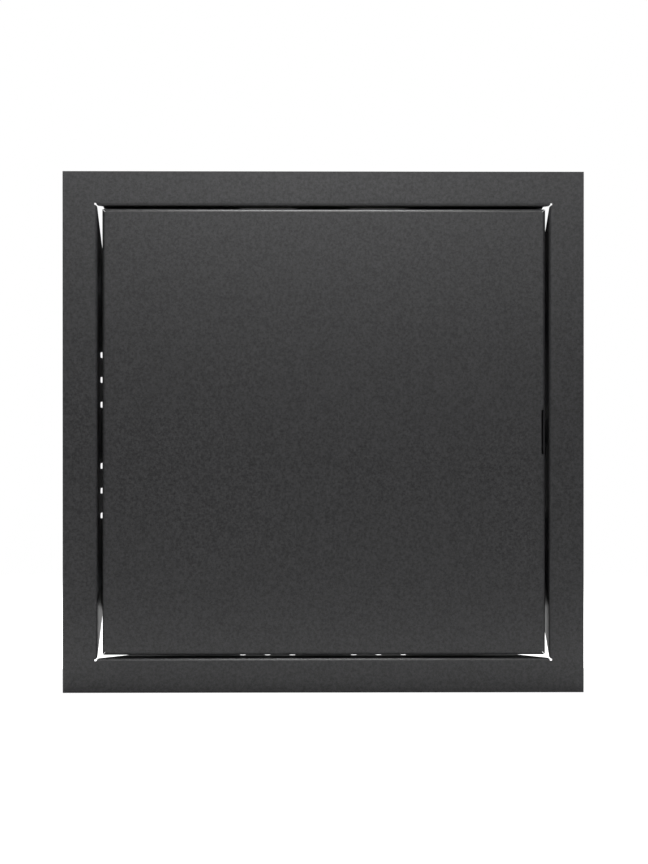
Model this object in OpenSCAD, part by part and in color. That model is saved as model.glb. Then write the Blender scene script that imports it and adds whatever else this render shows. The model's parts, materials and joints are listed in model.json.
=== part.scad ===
// Steel access panel: a folded flush frame that is built into a wall, and a
// side-hung leaf on two concealed pin hinges, held shut by a magnetic catch.
// X runs to the right, Z up and Y into the wall. The origin is the centre of
// the opening, in the plane of the wall surface that the flange rests on.

/* [Frame] */
// Clear width between the side walls
opening_w = 199.5; // [160:0.5:320]
// Clear height between the top and bottom walls
opening_h = 199.5; // [180:0.5:320]
// Visible width of the flange, from the wall faces outward
flange_w = 15.25; // [10:0.25:30]
// Thickness of the frame sheet
frame_sheet = 0.7; // [0.6:0.1:1.2]
// Inside radius of the bends, in the frame and in the leaf
bend_r = 0.6; // [0.4:0.1:1]
// Depth from the front of the flange to the back of the lip
frame_depth = 21; // [19:0.5:32]
// Width of the lip that turns in at the back of the walls
lip_w = 12; // [11:0.5:16]
// Inward lean of the wall on the hinge side, in degrees
hinge_wall_lean = 3.2; // [0:0.2:4]
// Inward lean of the wall on the catch side, in degrees
catch_wall_lean = 4.4; // [0:0.2:5]
// Inward lean of the top wall, in degrees
top_wall_lean = 3.4; // [0:0.2:4]
// Inward lean of the bottom wall, in degrees
bottom_wall_lean = 1.2; // [0:0.2:3]
// Extra draw-back of the walls' ends, which keeps the corners from binding
corner_relief = 0.7; // [0.35:0.05:1]

/* [Wall ties] */
// Width of one bend-out tie
tie_w = 8.5; // [5:0.1:10]
// Width of the slots beside the ties
tie_slot_w = 2.6; // [2:0.1:5]
// Depth at which the slots begin, from the front of the flange
tie_root = 11.8; // [9:0.2:14]
// Depth that the tips of the ties reach, from the front of the flange
tie_reach = 31.5; // [26:0.5:45]
// Distance between the two pairs of ties on a wall
tie_spread = 49.6; // [46:0.2:56]
// Shift of the ties on the hinge side, along the wall
hinge_tie_shift = -1.5; // [-3:0.5:3]

/* [Leaf] */
// Gap between the leaf and the wall on the hinge side
hinge_gap = 2.2; // [2:0.05:3]
// Gap between the leaf and the wall on the catch side
catch_gap = 1.75; // [1.5:0.05:3]
// Gap above the leaf
top_gap = 1.3; // [1.2:0.05:3]
// Gap below the leaf
bottom_gap = 1.4; // [1.2:0.05:3]
// Thickness of the leaf sheet
leaf_sheet = 0.7; // [0.6:0.1:1]
// Depth of the leaf's rims, from its front face
rim_depth = 10.5; // [9:0.25:11]
// Width of the return flange on the catch side
return_w = 10.5; // [9:0.25:14]
// Width of the slot that takes a flat blade
pry_slot_w = 1.2; // [0.8:0.05:1.5]
// Height of the slot that takes a flat blade
pry_slot_h = 19.6; // [12:0.2:26]

/* [Hinges] */
// Distance between the two hinges
hinge_spread = 132; // [110:1:134]
// Distance from the leaf's edge to the hinge axis
pivot_inset = 8; // [7:0.25:9]
// Distance from the leaf's face back to the hinge axis
pivot_setback = 5.2; // [5:0.1:6]
// Diameter of the hinge pins
pin_d = 3; // [2:0.1:3]
// Radial clearance of the pins in the rolled eyes
eye_clearance = 0.05; // [0.02:0.01:0.1]
// Thickness of the hinge arms
arm_t = 1.2; // [0.8:0.1:1.2]
// Height of the hinge arms
arm_h = 7.4; // [6:0.2:9]
// Thickness of the hinge brackets on the leaf
bracket_t = 1; // [0.8:0.1:1]
// Thickness of the thrust washers
washer_t = 0.5; // [0.4:0.1:0.8]

/* [Catch] */
// Thickness of the strike plate
strike_t = 1; // [0.8:0.1:1.5]
// Gap between the strike plate and the pole plates when shut
pole_gap = 0.1; // [0.05:0.05:0.3]
// Thickness of the pole plates
pole_t = 1.2; // [1:0.1:1.5]
// Thickness of the magnet between the pole plates
magnet_t = 3.8; // [3:0.1:4.5]
// Length of the magnet and the pole plates
magnet_l = 10; // [8:0.5:10]
// Wall thickness of the magnet housing
housing_wall = 1.1; // [0.8:0.1:1.3]

/* [Rivets] */
// Shank diameter of all the rivets
rivet_d = 2.4; // [2:0.1:2.4]
// Head diameter of all the rivets
rivet_head_d = 4.2; // [3.6:0.1:4.2]
// Clearance on the diameter between a rivet and its hole
rivet_clearance = 0.1; // [0.1:0.05:0.3]

/* [Hidden] */
$fn = 48;

// Frame, as depths along Y and distances from the wall's inner face
fold_r = bend_r + frame_sheet;
fold_y = fold_r - frame_sheet;
lip_back = frame_depth - frame_sheet;
lip_front = lip_back - frame_sheet;
tie_pitch = tie_w + tie_slot_w;
tie_group_half = tie_pitch + tie_slot_w / 2;
tie_tip_r = 2;
// Flat steps that round each bend of the frame
fold_steps = 10;
// Strip of the flange that a bent side shares with it
flange_overlap = 1;
// Depth from which the ends of the top wall run square, not mitred
square_end_y = 2.2;

// Leaf
leaf_w = opening_w - hinge_gap - catch_gap;
leaf_h = opening_h - top_gap - bottom_gap;
leaf_left = -opening_w / 2 + hinge_gap;
leaf_right = opening_w / 2 - catch_gap;
leaf_z = (bottom_gap - top_gap) / 2;
leaf_front = -frame_sheet;
leaf_back = leaf_front + leaf_sheet;
rim_back = leaf_front + rim_depth;
leaf_fold_r = bend_r + leaf_sheet;
// Slit where two rims of the leaf meet at a corner
leaf_slit = 0.15;
// Strip of the leaf's bend beyond the slot for the blade
pry_slot_edge = 0.5;
notch_gap = 1.6;
notch_r = 1;
notch_setback = 0.3;

// Hinges
pivot = [leaf_left + pivot_inset, leaf_front + pivot_setback];
pin_r = pin_d / 2;
eye_r = pin_r + eye_clearance;
eye_outer_r = eye_r + arm_t;
arm_bend_r = 0.8;
// Angles between which the rolled eye stays open
eye_seam = [0.5, 62];
foot_margin = 0.2;
rivet_margin = 0.3;
arm_base_left = -opening_w / 2 + lip_front * tan(hinge_wall_lean) + bend_r + foot_margin;
arm_web_x = pivot[0] + eye_r;
arm_rivet_right = arm_web_x - arm_bend_r - rivet_head_d / 2 - rivet_margin;
arm_rivet_x = [arm_rivet_right - rivet_head_d - rivet_margin, arm_rivet_right];
axial_play = 0.05;
ear_hole_r = pin_r + 0.02;
ear_r = 3.6;
ear_top = arm_h / 2 + washer_t + 2 * axial_play;
ear_gap = 0.3;
ear_bottom = arm_h / 2 + ear_gap;
bracket_left = 5.8;
bracket_right = 9;
bracket_skirt = 4;
bracket_fold_r = 0.6;
weld_spot_x = [-2.5, 5.5];
weld_spot_r = 1.6;
weld_spot_depth = 0.12;
pin_head_r = pin_r + 0.95;
pin_head_h = 1;
groove_r = pin_r - 0.35;
clip_t = 0.6;
clip_r = pin_r + 1.5;
washer_r = pin_r + 1.4;

// Catch
strike_back = rim_back + strike_t;
strike_w = 8.4;
strike_h = 22;
strike_corner_r = 1;
strike_rivet_z = 8.7;
catch_x = leaf_right - leaf_fold_r - strike_w / 2 + 0.2;
pole_front = strike_back + pole_gap;
pole_recess = 0.4;
housing_front = pole_front + pole_recess;
housing_back_wall = 1.6;
pocket_back = lip_front - housing_back_wall;
pocket_clearance = 0.05;
pocket_w = magnet_t + 2 * pole_t + 2 * pocket_clearance;
pocket_l = magnet_l + 2 * pocket_clearance;
housing_w = pocket_w + 2 * housing_wall;
housing_l = pocket_l + 2 * housing_wall;
housing_foot_l = 22.6;
housing_foot_t = 2.5;
housing_rivet_z = 8.8;
housing_corner_r = 1;
foot_corner_r = 1.5;
rib_t = 1.2;
rib_foot = 0.45;
rib_top = 1.5;
rib_overlap = 0.1;
magnet_setback = 0.9;

// Rivets
rivet_r = rivet_d / 2;
rivet_hole_r = rivet_r + rivet_clearance / 2;
rivet_head_r = rivet_head_d / 2;
rivet_head_h = 0.8;
rivet_tail_r = rivet_r + 0.6;
rivet_tail_h = 1.1;

// Colours
graphite = [0.2, 0.2, 0.21];
zinc = [0.72, 0.73, 0.74];
steel = [0.55, 0.56, 0.58];
moulding = [0.86, 0.86, 0.84];
nylon = [0.9, 0.89, 0.85];
ferrite = [0.16, 0.15, 0.15];

// A point turned about the origin
function turned(p, a) = [p[0] * cos(a) - p[1] * sin(a), p[0] * sin(a) + p[1] * cos(a)];

// Points on an arc
function arc(centre, r, from, to) =
    [for (i = [0:fold_steps]) centre + turned([r, 0], from + (to - from) * i / fold_steps)];

// Centre of the bend between the flange and a wall
fold_centre = [fold_r, fold_y];

// Centre of the bend between a leaning wall and its lip
function lip_fold(lean) = fold_centre + turned([-fold_r - bend_r,
    (lip_back - fold_r - fold_y + (fold_r + bend_r) * sin(lean)) / cos(lean)], lean);

// A point slid along a leaning wall until it is at the tips of the ties
function at_tie_tip(p, lean) = p + (tie_reach - frame_sheet - p[1]) * [-tan(lean), 1];

// Cross-section of a bent side from the flange to the edge of the lip. X is
// the distance outward from the face of the wall, Y the depth
function lip_section(lean) = concat(
    [[fold_r + flange_overlap, -frame_sheet]],
    arc(fold_centre, fold_r, 270, 180 + lean),
    arc(lip_fold(lean), bend_r, lean, 90),
    [[-lip_w, lip_front], [-lip_w, lip_back]],
    arc(lip_fold(lean), fold_r, 90, lean),
    arc(fold_centre, bend_r, 180 + lean, 270),
    [[fold_r + flange_overlap, 0]]);

// The same where the wall runs straight on into a tie
function tie_section(lean) =
    let(face = lip_fold(lean) + turned([bend_r, 0], lean), back = lip_fold(lean) + turned([fold_r, 0], lean))
    concat([[fold_r + flange_overlap, -frame_sheet]],
        arc(fold_centre, fold_r, 270, 180 + lean),
        [face, at_tie_tip(face, lean), at_tie_tip(back, lean), back],
        arc(fold_centre, bend_r, 180 + lean, 270),
        [[fold_r + flange_overlap, 0]]);

// Pie slice of up to a half turn, which picks a stretch of a bend
module slice(from, to) {
    reach = 12;
    middle = (from + to) / 2;
    polygon([[0, 0], turned([reach, 0], from), turned([reach * 2, 0], middle), turned([reach, 0], to)]);
}

// Cross-section of a bend in a sheet, around its centre
module bend(sheet, from, to) {
    intersection() {
        difference() {
            circle(r = bend_r + sheet);
            circle(r = bend_r);
        }
        slice(from, to);
    }
}

// Rectangle with round corners
module rounded(w, h, r) {
    square([w - 2 * r, h], center = true);
    square([w, h - 2 * r], center = true);
    for (x = [-1, 1], y = [-1, 1])
        translate([x * (w / 2 - r), y * (h / 2 - r)]) circle(r = r);
}

// Stands an outline drawn in X and Z up, from y_from to y_to
module upright(y_from, y_to) {
    translate([0, y_to, 0]) rotate([90, 0, 0]) linear_extrude(y_to - y_from) children();
}

// Extrudes an outline drawn in Y and Z along X
module along_x(x_from, x_to) {
    translate([x_from, 0, 0]) rotate([90, 0, 90]) linear_extrude(x_to - x_from) children();
}

// Round bar or hole along Y
module bar_y(x, z, r, y_from, y_to) {
    translate([x, y_to, z]) rotate([90, 0, 0]) cylinder(r = r, h = y_to - y_from);
}

// Dome-headed rivet along Y: the head faces the front and seats at y_head,
// and the tail is set against y_tail
module rivet(x, z, y_head, y_tail) {
    dome_r = (rivet_head_r * rivet_head_r + rivet_head_h * rivet_head_h) / (2 * rivet_head_h);
    translate([x, y_head, z]) rotate([90, 0, 0]) {
        intersection() {
            translate([0, 0, rivet_head_h - dome_r]) sphere(r = dome_r);
            cylinder(r = rivet_head_r, h = rivet_head_h);
        }
        translate([0, 0, y_head - y_tail]) cylinder(r = rivet_r, h = y_tail - y_head + 0.1);
        translate([0, 0, y_head - y_tail - rivet_tail_h])
            cylinder(r1 = rivet_r, r2 = rivet_tail_r, h = rivet_tail_h);
    }
}

// Cuts for one pair of ties: three slots that run out at the back, and the
// round corners of the two tips between them
module tie_cuts(lean) {
    tip = tie_reach - frame_sheet;
    slot_start = tie_root - frame_sheet + tie_slot_w / 2;
    along_x(-fold_r - tie_reach * sin(lean), fold_r) {
        for (step = [-1, 0, 1]) translate([slot_start, step * tie_pitch]) {
            circle(r = tie_slot_w / 2);
            translate([0, -tie_slot_w / 2]) square([tie_reach, tie_slot_w]);
        }
        for (middle = [-tie_pitch / 2, tie_pitch / 2], side = [-1, 1])
            translate([tip - tie_tip_r, middle + side * (tie_w / 2 - tie_tip_r)]) difference() {
                translate([0, side > 0 ? 0 : -tie_tip_r - 1]) square(tie_tip_r + 1);
                circle(r = tie_tip_r);
            }
    }
}

// One side of the frame. half is half the opening along the side. The blank
// is mitred at 45 degrees, so each end of the wall draws back by its depth,
// and each end of the lip by its distance inward. With square ends, the wall
// and the lip draw back no further than at square_end_y
module frame_side(half, lean, tie_shift, square_ends = false) {
    corner = half + fold_r;
    mitre = corner - (bend_r + frame_sheet / 2) * (90 - lean) * PI / 180 + fold_y - corner_relief;
    lip_start = lip_fold(lean)[0];
    back = lip_back + 2;
    wall_end = square_ends ? mitre - square_end_y : mitre - back;
    lip_end = square_ends ? wall_end : mitre - lip_back;
    lip_inner_end = lip_end - (square_ends ? 0 : lip_start + lip_w + 1);
    low = tie_shift - tie_spread / 2;
    high = tie_shift + tie_spread / 2;
    stretches = [[-corner - 2, low - tie_group_half], [low + tie_group_half, high - tie_group_half],
        [high + tie_group_half, corner + 2]];
    difference() {
        union() {
            intersection() {
                for (stretch = stretches) translate([0, 0, stretch[0]])
                    linear_extrude(stretch[1] - stretch[0]) polygon(lip_section(lean));
                along_x(-lip_w - 1, fold_r + 2) polygon([[-2, -mitre - 2],
                    [square_end_y, square_end_y - mitre], [back, -wall_end], [back, wall_end],
                    [square_end_y, mitre - square_end_y], [-2, mitre + 2]]);
                upright(-2, lip_back + 1) polygon([[-lip_w - 1, -lip_inner_end], [lip_start, -lip_end],
                    [lip_start, -corner - 2], [fold_r + 2, -corner - 2], [fold_r + 2, corner + 2],
                    [lip_start, corner + 2], [lip_start, lip_end], [-lip_w - 1, lip_inner_end]]);
            }
            for (z = [low, high]) translate([0, 0, z - tie_group_half])
                linear_extrude(2 * tie_group_half) polygon(tie_section(lean));
        }
        for (z = [low, high]) translate([0, 0, z]) tie_cuts(lean);
    }
}

// Folded sheet frame: one square flange with four walls turned back from it
module frame() {
    color(graphite) difference() {
        union() {
            upright(-frame_sheet, 0) difference() {
                square([opening_w + 2 * flange_w, opening_h + 2 * flange_w], center = true);
                square([opening_w + 2 * fold_r, opening_h + 2 * fold_r], center = true);
            }
            translate([opening_w / 2, 0, 0]) frame_side(opening_h / 2, catch_wall_lean, 0);
            translate([-opening_w / 2, 0, 0]) rotate([0, 180, 0])
                frame_side(opening_h / 2, hinge_wall_lean, -hinge_tie_shift);
            translate([0, 0, opening_h / 2]) rotate([0, -90, 0])
                frame_side(opening_w / 2, top_wall_lean, 0, square_ends = true);
            translate([0, 0, -opening_h / 2]) rotate([0, 90, 0])
                frame_side(opening_w / 2, bottom_wall_lean, 0);
        }
        for (side = [-1, 1], x = arm_rivet_x)
            bar_y(x, side * hinge_spread / 2, rivet_hole_r, lip_front - 1, lip_back + 1);
        for (side = [-1, 1])
            bar_y(catch_x, side * housing_rivet_z, rivet_hole_r, lip_front - 1, lip_back + 1);
    }
}

// Cross-section of a rim of the leaf, inward from its outer face
module rim_section(depth) {
    translate([-leaf_fold_r, leaf_front + leaf_fold_r]) bend(leaf_sheet, 270, 360);
    translate([-leaf_sheet, leaf_front + leaf_fold_r]) square([leaf_sheet, depth - leaf_fold_r]);
}

// One rim along Z, with its outer face at X 0 and its ends mitred to meet the
// next rims. half is half the leaf along the rim
module leaf_rim(half, depth) {
    reach = leaf_fold_r + 1;
    outer = half + 1 - leaf_slit;
    inner = half - reach - leaf_slit;
    intersection() {
        translate([0, 0, -half]) linear_extrude(2 * half) rim_section(depth);
        upright(leaf_front - 1, leaf_front + depth + 1)
            polygon([[1, -outer], [1, outer], [-reach, inner], [-reach, -inner]]);
    }
}

// Cross-section of the return flange behind the catch-side rim, with its bend
module return_section() {
    translate([-leaf_fold_r, rim_back - leaf_fold_r]) bend(leaf_sheet, 0, 90);
    translate([-return_w, rim_back - leaf_sheet]) square([return_w - leaf_fold_r, leaf_sheet]);
}

// Notch in the hinge-side rim, which lets the arm pass as the leaf swings
module arm_notch() {
    notch_h = arm_h + 2 * notch_gap;
    notch_start = leaf_front + leaf_fold_r + notch_setback;
    along_x(leaf_left - 1, leaf_left + leaf_fold_r) {
        translate([notch_start + notch_r, -notch_h / 2]) square([rim_depth, notch_h]);
        translate([notch_start, notch_r - notch_h / 2]) square([rim_depth, notch_h - 2 * notch_r]);
        for (side = [-1, 1])
            translate([notch_start + notch_r, side * (notch_h / 2 - notch_r)]) circle(r = notch_r);
    }
}

// Folded sheet leaf: a flat face with four rims that meet at mitred corners
module door_leaf() {
    flat_w = leaf_w - 2 * leaf_fold_r;
    flat_h = leaf_h - 2 * leaf_fold_r;
    centre_x = (leaf_left + leaf_right) / 2;
    color(graphite) difference() {
        translate([centre_x, 0, leaf_z]) {
            upright(leaf_front, leaf_back) square([flat_w, flat_h], center = true);
            translate([leaf_w / 2, 0, 0]) leaf_rim(leaf_h / 2, rim_depth - leaf_fold_r);
            translate([leaf_w / 2, 0, -flat_h / 2]) linear_extrude(flat_h) return_section();
            rotate([0, 180, 0]) translate([leaf_w / 2, 0, 0]) leaf_rim(leaf_h / 2, rim_depth);
            for (a = [-90, 90]) rotate([0, a, 0]) translate([leaf_h / 2, 0, 0])
                leaf_rim(leaf_w / 2, rim_depth);
        }
        for (side = [-1, 1]) translate([0, 0, side * hinge_spread / 2]) arm_notch();
        translate([leaf_right - pry_slot_edge - pry_slot_w, leaf_front - 1, -pry_slot_h / 2])
            cube([pry_slot_w, leaf_fold_r + 1, pry_slot_h]);
        for (side = [-1, 1])
            bar_y(catch_x, side * strike_rivet_z, rivet_hole_r, rim_back - 2 * leaf_sheet, rim_back + 1);
    }
}

// Hinge arm, folded from strip: an eye rolled round the pin, a web that runs
// straight back and a foot on the lip
module hinge_arm(z) {
    fold_outer = arm_bend_r + arm_t;
    foot_front = lip_front - arm_t;
    color(zinc) difference() {
        translate([0, 0, z - arm_h / 2]) linear_extrude(arm_h) {
            translate(pivot) difference() {
                circle(r = eye_outer_r);
                circle(r = eye_r);
                slice(eye_seam[0], eye_seam[1]);
            }
            translate([arm_web_x, pivot[1]]) square([arm_t, foot_front - arm_bend_r - pivot[1]]);
            translate([arm_web_x - arm_bend_r, foot_front - arm_bend_r]) intersection() {
                difference() {
                    circle(r = fold_outer);
                    circle(r = arm_bend_r);
                }
                square(fold_outer);
            }
            translate([arm_base_left, foot_front])
                square([arm_web_x - arm_bend_r - arm_base_left, arm_t]);
        }
        for (x = arm_rivet_x) bar_y(x, z, rivet_hole_r, foot_front - 1, lip_front + 1);
    }
}

// Hinge bracket: a U folded from sheet, spot-welded to the back of the leaf,
// whose two ears hold the pin above and below the rolled eye
module hinge_bracket(z) {
    top = z + ear_top + bracket_t;
    bottom = z - ear_bottom - bracket_t;
    ear_back = pivot[1] + ear_r;
    folds = [[bottom, -1], [top, 1]];
    color(zinc) difference() {
        intersection() {
            union() {
                along_x(pivot[0] - bracket_left, pivot[0] + bracket_right) {
                    translate([leaf_back, bottom - bracket_skirt])
                        square([bracket_t, top - bottom + 2 * bracket_skirt]);
                }
                for (ear = [[bottom, bottom + bracket_t], [top - bracket_t, top]])
                    translate([0, 0, ear[0]]) linear_extrude(ear[1] - ear[0])
                        translate([pivot[0] - ear_r, leaf_back + bracket_t / 2])
                            square([2 * ear_r, ear_back - leaf_back]);
                for (fold = folds)
                    along_x(pivot[0] - ear_r, pivot[0] + ear_r)
                        translate([leaf_back + bracket_t, fold[0]]) difference() {
                            square([bracket_fold_r, 2 * bracket_fold_r], center = true);
                            translate([bracket_fold_r / 2, fold[1] * bracket_fold_r])
                                circle(r = bracket_fold_r);
                        }
            }
            translate([0, 0, bottom - bracket_skirt])
                linear_extrude(top - bottom + 2 * bracket_skirt) {
                    translate(pivot) circle(r = ear_r);
                    translate([pivot[0] - ear_r, leaf_back]) square([2 * ear_r, pivot[1] - leaf_back]);
                    translate([pivot[0] - bracket_left, leaf_back])
                        square([bracket_left + bracket_right, bracket_t]);
                }
        }
        translate([pivot[0], pivot[1], bottom - 1]) cylinder(r = ear_hole_r, h = top - bottom + 2);
        for (x = weld_spot_x, end = [bottom - bracket_skirt / 2, top + bracket_skirt / 2])
            bar_y(pivot[0] + x, end, weld_spot_r, leaf_back + bracket_t - weld_spot_depth,
                leaf_back + bracket_t + 1);
    }
}

// Hinge pin with a flat head on the upper ear and a groove below the lower ear
module hinge_pin(z) {
    top = z + ear_top + bracket_t;
    bottom = z - ear_bottom - bracket_t - axial_play;
    end_l = 1.2;
    chamfer = 0.3;
    color(steel) translate([pivot[0], pivot[1], 0]) {
        translate([0, 0, top]) cylinder(r = pin_head_r, h = pin_head_h - chamfer);
        translate([0, 0, top + pin_head_h - chamfer])
            cylinder(r1 = pin_head_r, r2 = pin_head_r - chamfer, h = chamfer);
        translate([0, 0, bottom]) cylinder(r = pin_r, h = top - bottom);
        translate([0, 0, bottom - clip_t - axial_play]) cylinder(r = groove_r, h = clip_t + 2 * axial_play);
        translate([0, 0, bottom - clip_t - axial_play - end_l + chamfer])
            cylinder(r = pin_r, h = end_l - chamfer);
        translate([0, 0, bottom - clip_t - axial_play - end_l])
            cylinder(r1 = pin_r - chamfer, r2 = pin_r, h = chamfer);
    }
}

// Retaining clip that snaps into the groove of the pin
module pin_clip(z) {
    top = z - ear_bottom - bracket_t - axial_play;
    clip_grip = groove_r + 0.02;
    color(steel) translate([pivot[0], pivot[1], top - clip_t]) linear_extrude(clip_t) difference() {
        circle(r = clip_r);
        circle(r = clip_grip);
        translate([0, -clip_grip * 0.8]) square([clip_r + 1, clip_grip * 1.6]);
        for (a = [110, 250]) rotate(a) translate([clip_r * 0.62, 0]) circle(r = clip_r * 0.2);
    }
}

// Thrust washer between the rolled eye and the upper ear
module hinge_washer(z) {
    color(nylon) translate([pivot[0], pivot[1], z + arm_h / 2 + axial_play]) difference() {
        cylinder(r = washer_r, h = washer_t);
        translate([0, 0, -1]) cylinder(r = pin_r + 0.1, h = washer_t + 2);
    }
}

// The two rivets that hold a hinge arm to the lip
module arm_rivets(z) {
    color(steel) for (x = arm_rivet_x) rivet(x, z, lip_front - arm_t, lip_back);
}

// Moulded housing of the catch: a body with an open pocket, on a foot with
// two rivet holes
module magnet_housing() {
    color(moulding) difference() {
        union() {
            translate([catch_x, 0, 0]) {
                upright(housing_front, lip_front) rounded(housing_w, housing_l, housing_corner_r);
                upright(lip_front - housing_foot_t, lip_front) rounded(housing_w, housing_foot_l, foot_corner_r);
                for (side = [-1, 1]) along_x(-rib_t / 2, rib_t / 2) polygon([
                    [lip_front - housing_foot_t, side * (housing_l / 2 + rib_foot)],
                    [lip_front - housing_foot_t, side * (housing_l / 2 - rib_overlap)],
                    [housing_front + rib_top, side * (housing_l / 2 - rib_overlap)]]);
            }
        }
        translate([catch_x, 0, 0]) upright(housing_front - 1, pocket_back)
            square([pocket_w, pocket_l], center = true);
        for (side = [-1, 1])
            bar_y(catch_x, side * housing_rivet_z, rivet_hole_r, lip_front - housing_foot_t - 1, lip_front + 1);
    }
}

// Ferrite block between the pole plates, set back from their edges
module magnet() {
    color(ferrite) translate([catch_x, 0, 0]) upright(pole_front + magnet_setback, pocket_back)
        square([magnet_t, magnet_l], center = true);
}

// Steel plate beside the magnet: side is -1 towards the opening, 1 towards the wall
module pole_plate(side) {
    color(steel) translate([catch_x + side * (magnet_t + pole_t) / 2, 0, 0])
        upright(pole_front, pocket_back) square([pole_t, magnet_l], center = true);
}

// The two rivets that hold the housing to the lip
module housing_rivets() {
    color(steel) for (side = [-1, 1])
        rivet(catch_x, side * housing_rivet_z, lip_front - housing_foot_t, lip_back);
}

// Bare steel plate on the return flange, which the magnet pulls
module strike_plate() {
    color(zinc) difference() {
        translate([catch_x, 0, 0]) upright(rim_back, strike_back) rounded(strike_w, strike_h, strike_corner_r);
        for (side = [-1, 1])
            bar_y(catch_x, side * strike_rivet_z, rivet_hole_r, rim_back - 1, strike_back + 1);
    }
}

// The two rivets of the strike plate, with their heads towards the catch
module strike_rivets() {
    color(steel) translate([0, strike_back + rim_back - leaf_sheet, 0]) mirror([0, 1, 0])
        for (side = [-1, 1])
            rivet(catch_x, side * strike_rivet_z, rim_back - leaf_sheet, strike_back);
}

upper_z = hinge_spread / 2;
lower_z = -hinge_spread / 2;

frame();
door_leaf();
hinge_arm(upper_z);  // upper_hinge_arm
hinge_arm(lower_z);  // lower_hinge_arm
hinge_bracket(upper_z);  // upper_hinge_bracket
hinge_bracket(lower_z);  // lower_hinge_bracket
hinge_pin(upper_z);  // upper_hinge_pin
hinge_pin(lower_z);  // lower_hinge_pin
pin_clip(upper_z);  // upper_pin_clip
pin_clip(lower_z);  // lower_pin_clip
hinge_washer(upper_z);  // upper_hinge_washer
hinge_washer(lower_z);  // lower_hinge_washer
arm_rivets(upper_z);  // upper_arm_rivets
arm_rivets(lower_z);  // lower_arm_rivets
magnet_housing();
magnet();
pole_plate(-1);  // inner_pole_plate
pole_plate(1);  // outer_pole_plate
housing_rivets();
strike_plate();
strike_rivets();
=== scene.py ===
# Looks for a flush-mounted steel access panel: graphite powder coat on the frame and the
# leaf, steel and nylon in the hinges, plastic and ferrite in the catch, and the studio.
# Metres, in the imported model's frame: X right, Z up, Y into the wall.
import json
import math

import bpy
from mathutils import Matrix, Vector


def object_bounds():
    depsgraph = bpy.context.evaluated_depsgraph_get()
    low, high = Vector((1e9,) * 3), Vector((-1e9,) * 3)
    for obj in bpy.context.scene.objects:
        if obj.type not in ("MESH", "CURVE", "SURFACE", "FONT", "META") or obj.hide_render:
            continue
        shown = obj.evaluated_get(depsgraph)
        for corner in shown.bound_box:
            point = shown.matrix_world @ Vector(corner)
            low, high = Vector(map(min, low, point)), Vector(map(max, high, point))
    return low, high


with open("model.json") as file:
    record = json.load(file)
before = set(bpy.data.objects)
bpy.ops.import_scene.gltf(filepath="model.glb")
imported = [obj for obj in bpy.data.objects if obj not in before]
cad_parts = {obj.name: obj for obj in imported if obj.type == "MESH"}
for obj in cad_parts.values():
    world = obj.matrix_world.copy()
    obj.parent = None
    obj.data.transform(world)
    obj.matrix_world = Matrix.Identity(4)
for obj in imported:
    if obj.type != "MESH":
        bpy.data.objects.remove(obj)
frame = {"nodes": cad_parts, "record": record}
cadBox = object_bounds()
print("frame loaded:", len(frame["nodes"]), "nodes")

mm = 0.001


# Colours are written as sRGB hex and handed to the shaders as linear values
def linearColour(hexCode):
    channels = []
    for i in (1, 3, 5):
        c = int(hexCode[i:i + 2], 16) / 255
        channels.append(c / 12.92 if c <= 0.04045 else ((c + 0.055) / 1.055) ** 2.4)
    return (*channels, 1.0)


# Adds a node, fills its settings and sockets, and links what feeds it. A socket goes by its
# name, or by its number where names repeat: a colour Mix has its colours at 6 and 7
def addNode(tree, kind, settings=None, values=None, links=None):
    made = tree.nodes.new(kind)
    for name, value in (settings or {}).items():
        setattr(made, name, value)
    for socket, value in (values or {}).items():
        made.inputs[socket].default_value = value
    for socket, source in (links or {}).items():
        tree.links.new(source, made.inputs[socket])
    return made


def startMaterial(name):
    made = bpy.data.materials.new(name)
    made.use_nodes = True
    made.node_tree.nodes.clear()
    return made, made.node_tree


def finishMaterial(tree, shader):
    addNode(tree, "ShaderNodeOutputMaterial", links={"Surface": shader.outputs[0]})


# Polyester powder coat, satin graphite, sprayed on the folded blank and stoved.
# The melted grains leave a fine dry grain and a slow orange peel, so the gloss is
# broad and soft, and no bend has a hard glint. Real grains are under 0.1 mm, too fine
# to show here, so the grain is drawn more than ten times as coarse.
powderCoat = {
    "colour": "#29292a",
    "lighterGrain": "#414142",
    "lighterFromTo": (0.35, 0.65),  # of the noise, between the two colours
    "roughness": 0.3,
    "roughnessSpread": 0.05,
    "ior": 1.5,
    "grainMm": 1.15,
    "grainDetail": 3.0,
    "grainRoughness": 0.8,
    "grainDepthMm": 0.013,
    "peelMm": 3.2,
    "peelDetail": 1.0,
    "peelDepthMm": 0.024,
}


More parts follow.
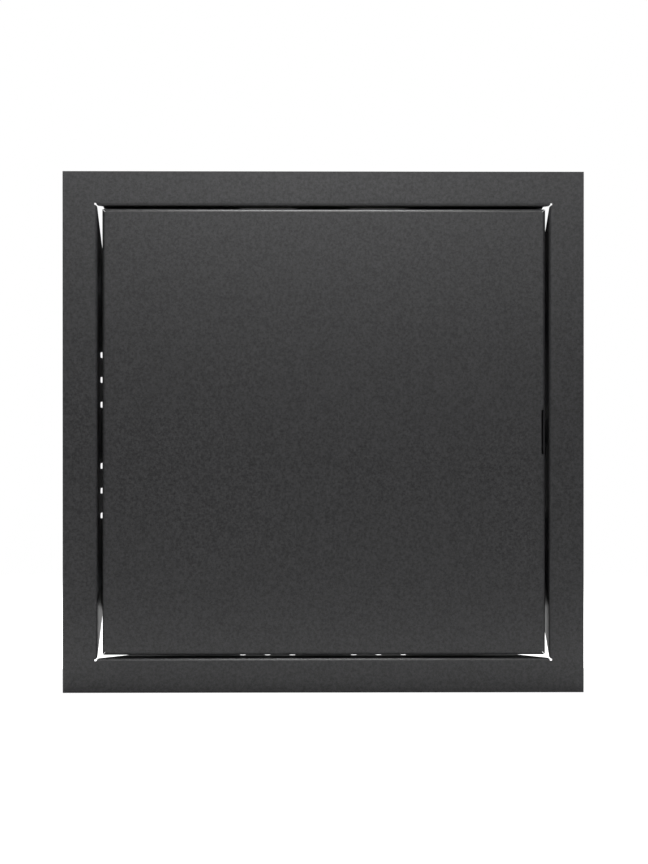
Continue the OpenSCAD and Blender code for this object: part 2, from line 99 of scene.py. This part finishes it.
def makePowderCoat():
    p = powderCoat
    made, tree = startMaterial("graphitePowderCoat")
    place = addNode(tree, "ShaderNodeTexCoord").outputs["Object"]
    grain = addNode(tree, "ShaderNodeTexNoise",
                    values={"Scale": 1 / (p["grainMm"] * mm), "Detail": p["grainDetail"],
                            "Roughness": p["grainRoughness"]},
                    links={"Vector": place})
    peel = addNode(tree, "ShaderNodeTexNoise",
                   values={"Scale": 1 / (p["peelMm"] * mm), "Detail": p["peelDetail"]},
                   links={"Vector": place})
    lighter = addNode(tree, "ShaderNodeMapRange",
                      values={"From Min": p["lighterFromTo"][0], "From Max": p["lighterFromTo"][1]},
                      links={"Value": grain.outputs["Fac"]})
    colour = addNode(tree, "ShaderNodeMix", {"data_type": "RGBA"},
                     values={6: linearColour(p["colour"]), 7: linearColour(p["lighterGrain"])},
                     links={"Factor": lighter.outputs["Result"]})
    gloss = addNode(tree, "ShaderNodeMapRange",
                    values={"To Min": p["roughness"] - p["roughnessSpread"],
                            "To Max": p["roughness"] + p["roughnessSpread"]},
                    links={"Value": grain.outputs["Fac"]})
    peelBump = addNode(tree, "ShaderNodeBump",
                       values={"Strength": 1.0, "Distance": p["peelDepthMm"] * mm},
                       links={"Height": peel.outputs["Fac"]})
    grainBump = addNode(tree, "ShaderNodeBump",
                        values={"Strength": 1.0, "Distance": p["grainDepthMm"] * mm},
                        links={"Height": grain.outputs["Fac"], "Normal": peelBump.outputs["Normal"]})
    shader = addNode(tree, "ShaderNodeBsdfPrincipled", values={"IOR": p["ior"], "Metallic": 0.0},
                     links={"Base Color": colour.outputs[2], "Roughness": gloss.outputs["Result"],
                            "Normal": grainBump.outputs["Normal"]})
    finishMaterial(tree, shader)
    return made


# Bright zinc plate with a clear passivate, on strip pressed and folded cold.
# The plate is pale and faintly blue, cloudy where the passivate dried, over fine draw lines.
zincPlate = {
    "colour": "#c3c7ca",
    "cloudColour": "#a9adb2",
    "roughness": 0.33,
    "cloudMm": 4.0,
    "drawLineMm": 0.25,
    "drawDepthMm": 0.003,
}

# Steel turned or headed and left bright under a film of oil: darker than zinc, with
# fine lines from the tool.
brightSteel = {
    "colour": "#a5a7a9",
    "cloudColour": "#8b8d90",
    "roughness": 0.27,
    "cloudMm": 2.5,
    "drawLineMm": 0.2,
    "drawDepthMm": 0.002,
}

# Phosphated spring steel: the crystal coat is charcoal, dry and finely grained.
phosphatedSteel = {
    "colour": "#5c5d60",
    "cloudColour": "#47484b",
    "roughness": 0.5,
    "cloudMm": 1.2,
    "drawLineMm": 0.15,
    "drawDepthMm": 0.003,
}

# What the three metals share. Real draw lines are finer than 0.1 mm, so these are drawn
# coarser to show
metalPattern = {
    "cloudDetail": 3.0,
    "cloudFromTo": (0.38, 0.62),  # of the noise, between the two colours
    "roughnessSpread": 0.07,
    "drawLineDetail": 2.0,
    "drawLineStretch": 0.06,
}


def makeMetal(name, p):
    made, tree = startMaterial(name)
    place = addNode(tree, "ShaderNodeTexCoord").outputs["Object"]
    cloud = addNode(tree, "ShaderNodeTexNoise",
                    values={"Scale": 1 / (p["cloudMm"] * mm), "Detail": metalPattern["cloudDetail"]},
                    links={"Vector": place})
    # Draw lines run along the strip, so they are stretched upright
    stretched = addNode(tree, "ShaderNodeMapping",
                        values={"Scale": (1.0, 1.0, metalPattern["drawLineStretch"])},
                        links={"Vector": place})
    lines = addNode(tree, "ShaderNodeTexNoise",
                    values={"Scale": 1 / (p["drawLineMm"] * mm), "Detail": metalPattern["drawLineDetail"]},
                    links={"Vector": stretched.outputs["Vector"]})
    cloudFrom, cloudTo = metalPattern["cloudFromTo"]
    clouded = addNode(tree, "ShaderNodeMapRange", values={"From Min": cloudFrom, "From Max": cloudTo},
                      links={"Value": cloud.outputs["Fac"]})
    colour = addNode(tree, "ShaderNodeMix", {"data_type": "RGBA"},
                     values={6: linearColour(p["colour"]), 7: linearColour(p["cloudColour"])},
                     links={"Factor": clouded.outputs["Result"]})
    gloss = addNode(tree, "ShaderNodeMapRange",
                    values={"To Min": p["roughness"] - metalPattern["roughnessSpread"],
                            "To Max": p["roughness"] + metalPattern["roughnessSpread"]},
                    links={"Value": cloud.outputs["Fac"]})
    bump = addNode(tree, "ShaderNodeBump",
                   values={"Strength": 1.0, "Distance": p["drawDepthMm"] * mm},
                   links={"Height": lines.outputs["Fac"]})
    shader = addNode(tree, "ShaderNodeBsdfPrincipled", values={"Metallic": 1.0},
                     links={"Base Color": colour.outputs[2], "Roughness": gloss.outputs["Result"],
                            "Normal": bump.outputs["Normal"]})
    finishMaterial(tree, shader)
    return made


# ABS, moulded in a tool with a light spark texture: off-white, with an even fine grain
mouldedAbs = {
    "colour": "#dfded9",
    "shade": "#d3d2cc",
    "roughness": 0.42,
    "ior": 1.54,
    "grainMm": 0.35,
    "grainDepthMm": 0.008,
}

# Nylon, natural and unpigmented, turned from rod: milky cream with a waxy sheen
turnedNylon = {
    "colour": "#e6dfcb",
    "shade": "#d9d1ba",
    "roughness": 0.38,
    "ior": 1.53,
    "grainMm": 0.2,
    "grainDepthMm": 0.003,
}

# Ferrite, pressed from powder and sintered: charcoal, dull and slightly pitted
sinteredFerrite = {
    "colour": "#2b2a2a",
    "shade": "#383736",
    "roughness": 0.62,
    "ior": 1.9,
    "grainMm": 0.3,
    "grainDepthMm": 0.012,
}

# What the plastics and the ferrite share. Their grain is drawn two or three times as coarse
# as the real one, to show
grainPattern = {
    "grainDetail": 2.0,
    "roughnessSpread": 0.06,
}


def makeMoulding(name, p):
    made, tree = startMaterial(name)
    place = addNode(tree, "ShaderNodeTexCoord").outputs["Object"]
    grain = addNode(tree, "ShaderNodeTexNoise",
                    values={"Scale": 1 / (p["grainMm"] * mm), "Detail": grainPattern["grainDetail"]},
                    links={"Vector": place})
    colour = addNode(tree, "ShaderNodeMix", {"data_type": "RGBA"},
                     values={6: linearColour(p["colour"]), 7: linearColour(p["shade"])},
                     links={"Factor": grain.outputs["Fac"]})
    gloss = addNode(tree, "ShaderNodeMapRange",
                    values={"To Min": p["roughness"] - grainPattern["roughnessSpread"],
                            "To Max": p["roughness"] + grainPattern["roughnessSpread"]},
                    links={"Value": grain.outputs["Fac"]})
    bump = addNode(tree, "ShaderNodeBump",
                   values={"Strength": 1.0, "Distance": p["grainDepthMm"] * mm},
                   links={"Height": grain.outputs["Fac"]})
    shader = addNode(tree, "ShaderNodeBsdfPrincipled", values={"IOR": p["ior"], "Metallic": 0.0},
                     links={"Base Color": colour.outputs[2], "Roughness": gloss.outputs["Result"],
                            "Normal": bump.outputs["Normal"]})
    finishMaterial(tree, shader)
    return made


# One finish for each material slot of the record
finishes = {
    "graphite_powder_coat": makePowderCoat(),
    "zinc_plated_steel": makeMetal("clearZincPlate", zincPlate),
    "bright_steel": makeMetal("brightTurnedSteel", brightSteel),
    "spring_steel": makeMetal("phosphatedSpringSteel", phosphatedSteel),
    "natural_nylon": makeMoulding("turnedNaturalNylon", turnedNylon),
    "moulded_housing": makeMoulding("mouldedAbs", mouldedAbs),
    "ferrite": makeMoulding("sinteredFerrite", sinteredFerrite),
}
for subpart in frame["record"]["subparts"]:
    shown = frame["nodes"][subpart["node"]]
    shown.data.materials.clear()
    shown.data.materials.append(finishes[subpart["material_slot"]])
print("finishes on:", len(finishes), "slots")


# White paper on the floor. Under and behind the panel a strip of it is painted dark, a painted shade
# that bounces little light, so that the gaps round the leaf stay dark
paperFloor = {
    "dropMm": 0.4,  # below the panel's lowest point
    "fadeMm": (420, 900),  # from the middle
    "paperColour": "#f4f4f4",
    # Colour of the painted shade, the dark strip of paper under and behind the panel
    "paintedShadeColour": "#2c2c2c",
    "paintedShadeFromToMm": (-6, 110),  # in Y
}


def makePaper():
    p = paperFloor
    made, tree = startMaterial("whitePaper")
    place = addNode(tree, "ShaderNodeTexCoord").outputs["Object"]
    depth = addNode(tree, "ShaderNodeSeparateXYZ", links={"Vector": place}).outputs["Y"]
    # Painted shade: inside this band in Y the paper takes the dark colour, though the camera still sees it
    # white
    shadeFrom, shadeTo = (d * mm for d in p["paintedShadeFromToMm"])
    inPaintedShade = addNode(tree, "ShaderNodeMath", {"operation": "COMPARE"},
                      values={1: (shadeFrom + shadeTo) / 2, 2: (shadeTo - shadeFrom) / 2},
                      links={0: depth})
    bounce = addNode(tree, "ShaderNodeMix", {"data_type": "RGBA"},
                     values={6: linearColour(p["paperColour"]), 7: linearColour(p["paintedShadeColour"])},
                     links={"Factor": inPaintedShade.outputs["Value"]})
    paper = addNode(tree, "ShaderNodeBsdfDiffuse", links={"Color": bounce.outputs[2]})
    # The camera sees all of it as plain white, exposed like the surround
    seen = addNode(tree, "ShaderNodeLightPath").outputs["Is Camera Ray"]
    exposed = addNode(tree, "ShaderNodeEmission", links={"Strength": seen})
    whitePaper = addNode(tree, "ShaderNodeAddShader", links={0: paper.outputs[0], 1: exposed.outputs[0]})
    # The paper fades into the surround away from the panel. Seen from below it is
    # left clear, so that it doesn't hide the panel
    flat = addNode(tree, "ShaderNodeVectorMath", {"operation": "MULTIPLY"},
                   values={1: (1, 1, 0)}, links={0: place})
    away = addNode(tree, "ShaderNodeVectorMath", {"operation": "LENGTH"}, links={0: flat.outputs["Vector"]})
    fadeFrom, fadeTo = (d * mm for d in p["fadeMm"])
    fade = addNode(tree, "ShaderNodeMapRange", {"interpolation_type": "SMOOTHSTEP"},
                   values={"From Min": fadeFrom, "From Max": fadeTo},
                   links={"Value": away.outputs["Value"]})
    below = addNode(tree, "ShaderNodeNewGeometry").outputs["Backfacing"]
    hidden = addNode(tree, "ShaderNodeMath", {"operation": "MAXIMUM"},
                     links={0: fade.outputs["Result"], 1: below})
    clear = addNode(tree, "ShaderNodeBsdfTransparent")
    mixed = addNode(tree, "ShaderNodeMixShader",
                    links={0: hidden.outputs["Value"], 1: whitePaper.outputs[0], 2: clear.outputs[0]})
    finishMaterial(tree, mixed)
    return made


def makeFloor():
    low = cadBox[0].z - paperFloor["dropMm"] * mm
    half = paperFloor["fadeMm"][1] * mm
    corners = [(x * half, y * half, low) for x, y in ((-1, -1), (1, -1), (1, 1), (-1, 1))]
    mesh = bpy.data.meshes.new("studioFloor")
    mesh.from_pydata(corners, [], [(0, 1, 2, 3)])
    mesh.materials.append(makePaper())
    floor = bpy.data.objects.new("studioFloor", mesh)
    bpy.context.scene.collection.objects.link(floor)


# White for the camera, and nearly dark for the panel, which is lit by the soft boxes
surround = {
    "seenStrength": 1.0,
    "lightStrength": 0.012,
}


def makeSurround():
    world = bpy.data.worlds.new("whiteSurround")
    world.use_nodes = True
    tree = world.node_tree
    tree.nodes.clear()
    white = addNode(tree, "ShaderNodeBackground",
                    values={"Color": (1, 1, 1, 1), "Strength": surround["seenStrength"]})
    dim = addNode(tree, "ShaderNodeBackground",
                  values={"Color": (1, 1, 1, 1), "Strength": surround["lightStrength"]})
    seen = addNode(tree, "ShaderNodeLightPath").outputs["Is Camera Ray"]
    mixed = addNode(tree, "ShaderNodeMixShader", links={0: seen, 1: dim.outputs[0], 2: white.outputs[0]})
    addNode(tree, "ShaderNodeOutputWorld", links={"Surface": mixed.outputs[0]})
    bpy.context.scene.world = world


# Watts, width and height in mm, and place in mm. The square box and the near strip draw the
# bright lines on the bends, the wide and front boxes give the leaf its upright gradient, the
# low strip lifts the lower edge, and the back box shows the back
softBoxes = {
    "squareSoftBox": (2.7, (300, 300), (0, -933, 583)),
    "nearStripBox": (0.78, (140, 60), (0, -108, 333)),
    "wideStripBox": (1.07, (2000, 150), (0, -1178, 229)),
    "frontSoftBox": (0.5, (800, 200), (0, -1159, 311)),
    "lowStripBox": (0.06, (900, 60), (0, -60, -110)),
    "backSoftBox": (12, (900, 600), (0, 750, 1000)),
}


# Each box faces the middle of the panel, and the camera doesn't see it
def makeSoftBox(name):
    watts, sizeMm, placeMm = softBoxes[name]
    lamp = bpy.data.lights.new(name, "AREA")
    lamp.shape = "RECTANGLE"
    lamp.size = sizeMm[0] * mm
    lamp.size_y = sizeMm[1] * mm
    lamp.energy = watts
    box = bpy.data.objects.new(name, lamp)
    box.location = Vector(placeMm) * mm
    box.rotation_mode = "QUATERNION"
    box.rotation_quaternion = (-box.location).to_track_quat("-Z", "Y")
    box.visible_camera = False
    bpy.context.scene.collection.objects.link(box)


makeFloor()
makeSurround()
for name in softBoxes:
    makeSoftBox(name)
print("studio set")


# Camera 1.1 m in front of the flange, a little to the left and above
cameraView = {
    "distanceMm": 1100,
    "pictureHeightMm": 381.3,  # at the flange
    "aimMm": (0.2, 0.05),  # to the right and up
    "leftDegrees": 0.8,
    "upDegrees": 0.25,
    "sensorMm": 36,  # along the picture's height, its longer side
    "clipMm": (50, 30000),
}


def makeCamera():
    p = cameraView
    data = bpy.data.cameras.new("photoCamera")
    data.sensor_width = p["sensorMm"]
    data.lens = p["sensorMm"] * p["distanceMm"] / p["pictureHeightMm"]
    data.clip_start, data.clip_end = (d * mm for d in p["clipMm"])
    left, up = math.radians(p["leftDegrees"]), math.radians(p["upDegrees"])
    away = Vector((-math.sin(left) * math.cos(up), -math.cos(left) * math.cos(up), math.sin(up)))
    aim = Vector((p["aimMm"][0] * mm, cadBox[0].y, p["aimMm"][1] * mm))
    camera = bpy.data.objects.new("photoCamera", data)
    camera.location = aim + away * p["distanceMm"] * mm
    camera.rotation_euler = (-away).to_track_quat("-Z", "Y").to_euler()
    bpy.context.scene.collection.objects.link(camera)
    bpy.context.scene.camera = camera


makeCamera()
bpy.context.scene.view_settings.view_transform = "Standard"
print("camera set")
